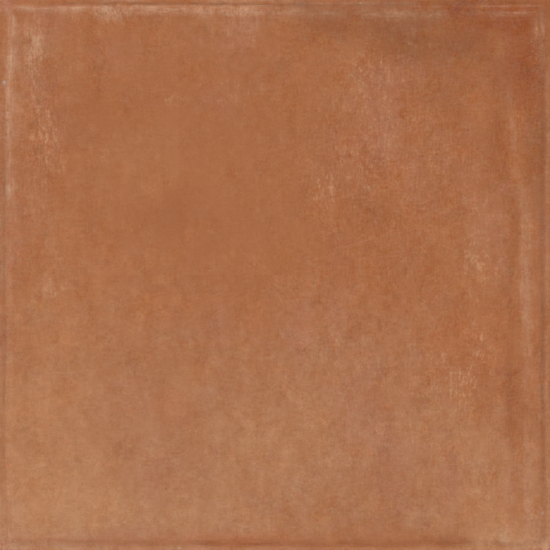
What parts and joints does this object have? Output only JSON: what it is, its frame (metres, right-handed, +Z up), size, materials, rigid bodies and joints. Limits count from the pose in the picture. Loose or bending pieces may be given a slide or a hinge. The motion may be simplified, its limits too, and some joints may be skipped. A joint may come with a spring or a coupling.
{
  "type": "square floor tile",
  "caption": "Square flat terracotta floor tile with a worn matt face, a rounded shoulder down to a narrow rim all round, and a keyed waffle bed for adhesive.",
  "frame": {"origin": "centre of the bed, the underside that is stuck down, so the tile lies on z = 0", "axes": "+Z up, out of the wearing face; +X to the right and +Y to the top of the picture, along the tile's sides"},
  "size_m": [0.3, 0.3, 0.01],
  "materials": {
    "fired_clay": "matt"
  },
  "bodies": {
    "root": {"tile": "fired_clay"}
  },
  "joints": []
}
